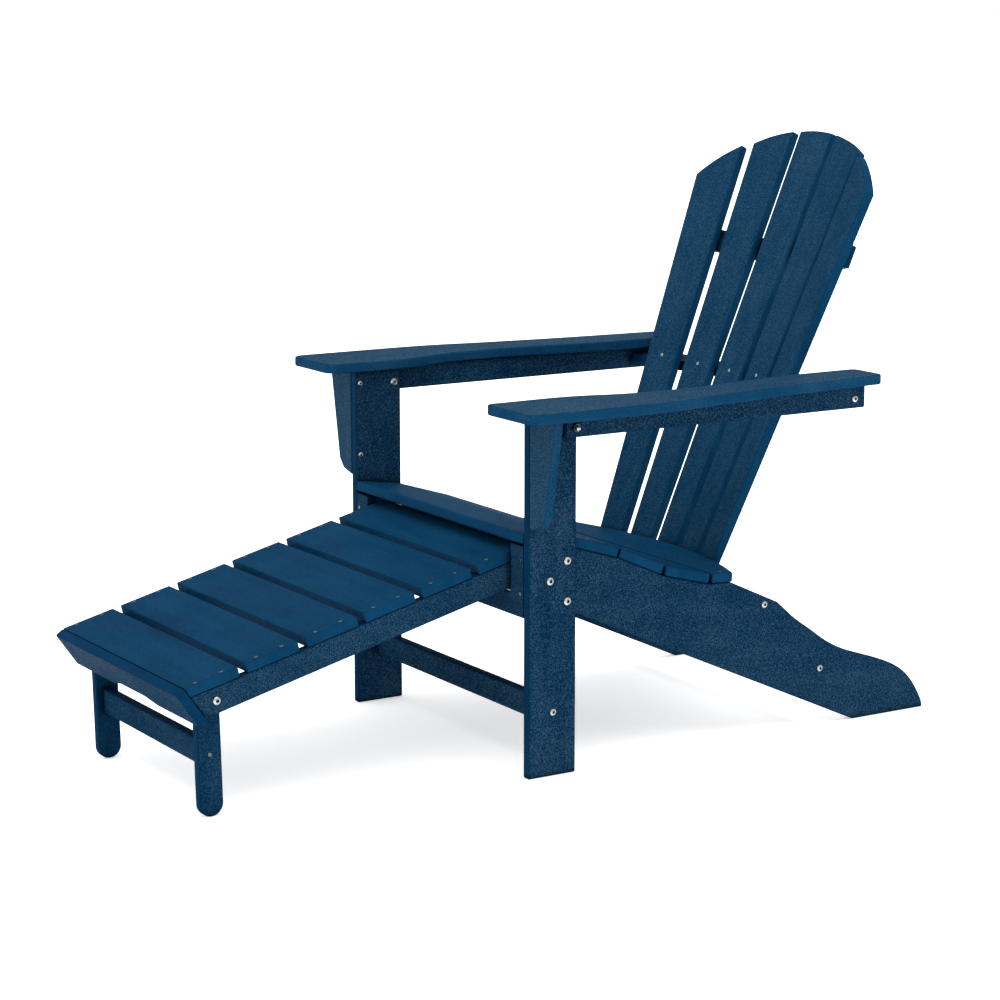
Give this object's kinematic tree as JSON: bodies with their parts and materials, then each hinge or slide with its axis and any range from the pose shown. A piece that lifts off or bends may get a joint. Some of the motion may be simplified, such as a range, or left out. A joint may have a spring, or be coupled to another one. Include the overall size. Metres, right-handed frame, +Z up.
{
  "type": "adirondack chair",
  "caption": "Slatted Adirondack lounge chair with a fan back, wide curved arms and a slatted footrest that slides under the seat and has its own folding leg frame.",
  "frame": {"origin": "on the floor under the middle of the whole chair with its footrest pulled out", "axes": "+Z up, +Y to the rear of the chair, +X to the sitter's left"},
  "size_m": [0.78, 1.4058, 0.9854],
  "materials": {
    "navy_lumber": "pebbled matte navy plastic lumber",
    "stainless": "brushed stainless steel",
    "black_nylon": "matte black nylon"
  },
  "bodies": {
    "chair": {"apron_screws": "stainless", "arm_brace_screws": "stainless", "arm_bracket_left": "navy_lumber", "arm_bracket_right": "navy_lumber", "arm_left": "navy_lumber", "arm_rail_bolts": "stainless", "arm_rail_left": "navy_lumber", "arm_rail_right": "navy_lumber", "arm_right": "navy_lumber", "back_batten_upper": "navy_lumber", "back_brace_arm": "navy_lumber", "back_brace_lower": "navy_lumber", "back_lower_screws": "stainless", "back_middle_screws": "stainless", "back_slat_1": "navy_lumber", "back_slat_2": "navy_lumber", "back_slat_3": "navy_lumber", "back_slat_4": "navy_lumber", "back_slat_5": "navy_lumber", "back_upper_screws": "stainless", "bracket_screws": "stainless", "chair_dowels": "black_nylon", "front_apron": "navy_lumber", "front_leg_left": "navy_lumber", "front_leg_right": "navy_lumber", "front_stretcher": "navy_lumber", "front_stretcher_screws": "stainless", "leg_stringer_bolts": "stainless", "lower_brace_screws": "stainless", "rear_stretcher": "navy_lumber", "rear_stretcher_screws": "stainless", "seat_slat_1": "navy_lumber", "seat_slat_2": "navy_lumber", "seat_slat_3": "navy_lumber", "seat_slat_4": "navy_lumber", "seat_slat_5": "navy_lumber", "seat_slat_screws": "stainless", "stringer_left": "navy_lumber", "stringer_right": "navy_lumber"},
    "saddle": {"ottoman_saddle_bar": "stainless"},
    "ottoman": {"ottoman_front_board": "navy_lumber", "ottoman_front_board_dowels": "black_nylon", "ottoman_pivot_bolts": "stainless", "ottoman_pivot_spacer_left": "black_nylon", "ottoman_pivot_spacer_right": "black_nylon", "ottoman_rail_left": "navy_lumber", "ottoman_rail_right": "navy_lumber", "ottoman_rear_bar": "navy_lumber", "ottoman_rear_bar_screws": "stainless", "ottoman_slat_1": "navy_lumber", "ottoman_slat_2": "navy_lumber", "ottoman_slat_3": "navy_lumber", "ottoman_slat_4": "navy_lumber", "ottoman_slat_5": "navy_lumber", "ottoman_slat_6": "navy_lumber", "ottoman_slat_screws": "stainless"},
    "ottoman_legs": {"ottoman_leg_left": "navy_lumber", "ottoman_leg_right": "navy_lumber", "ottoman_leg_stretcher": "navy_lumber", "ottoman_leg_screws": "stainless"}
  },
  "joints": [
    {"name": "ottoman_tilt", "type": "hinge", "parent": "chair", "child": "saddle", "pos_m": [0, -0.11355, 0.2975], "axis": [1, 0, 0], "range_deg": [-38, 0]},
    {"name": "ottoman_slide", "type": "slide", "parent": "saddle", "child": "ottoman", "axis": [0, 0.969, 0.247], "range_m": [0, 0.158]},
    {"name": "leg_fold", "type": "hinge", "parent": "ottoman", "child": "ottoman_legs", "pos_m": [0, -0.6378, 0.19], "axis": [1, 0, 0], "range_deg": [0, 102.6]}
  ],
  "couplings": [
    {"joint": "ottoman_tilt", "follows": "ottoman_slide", "rad_per_m": -4.1888}
  ]
}
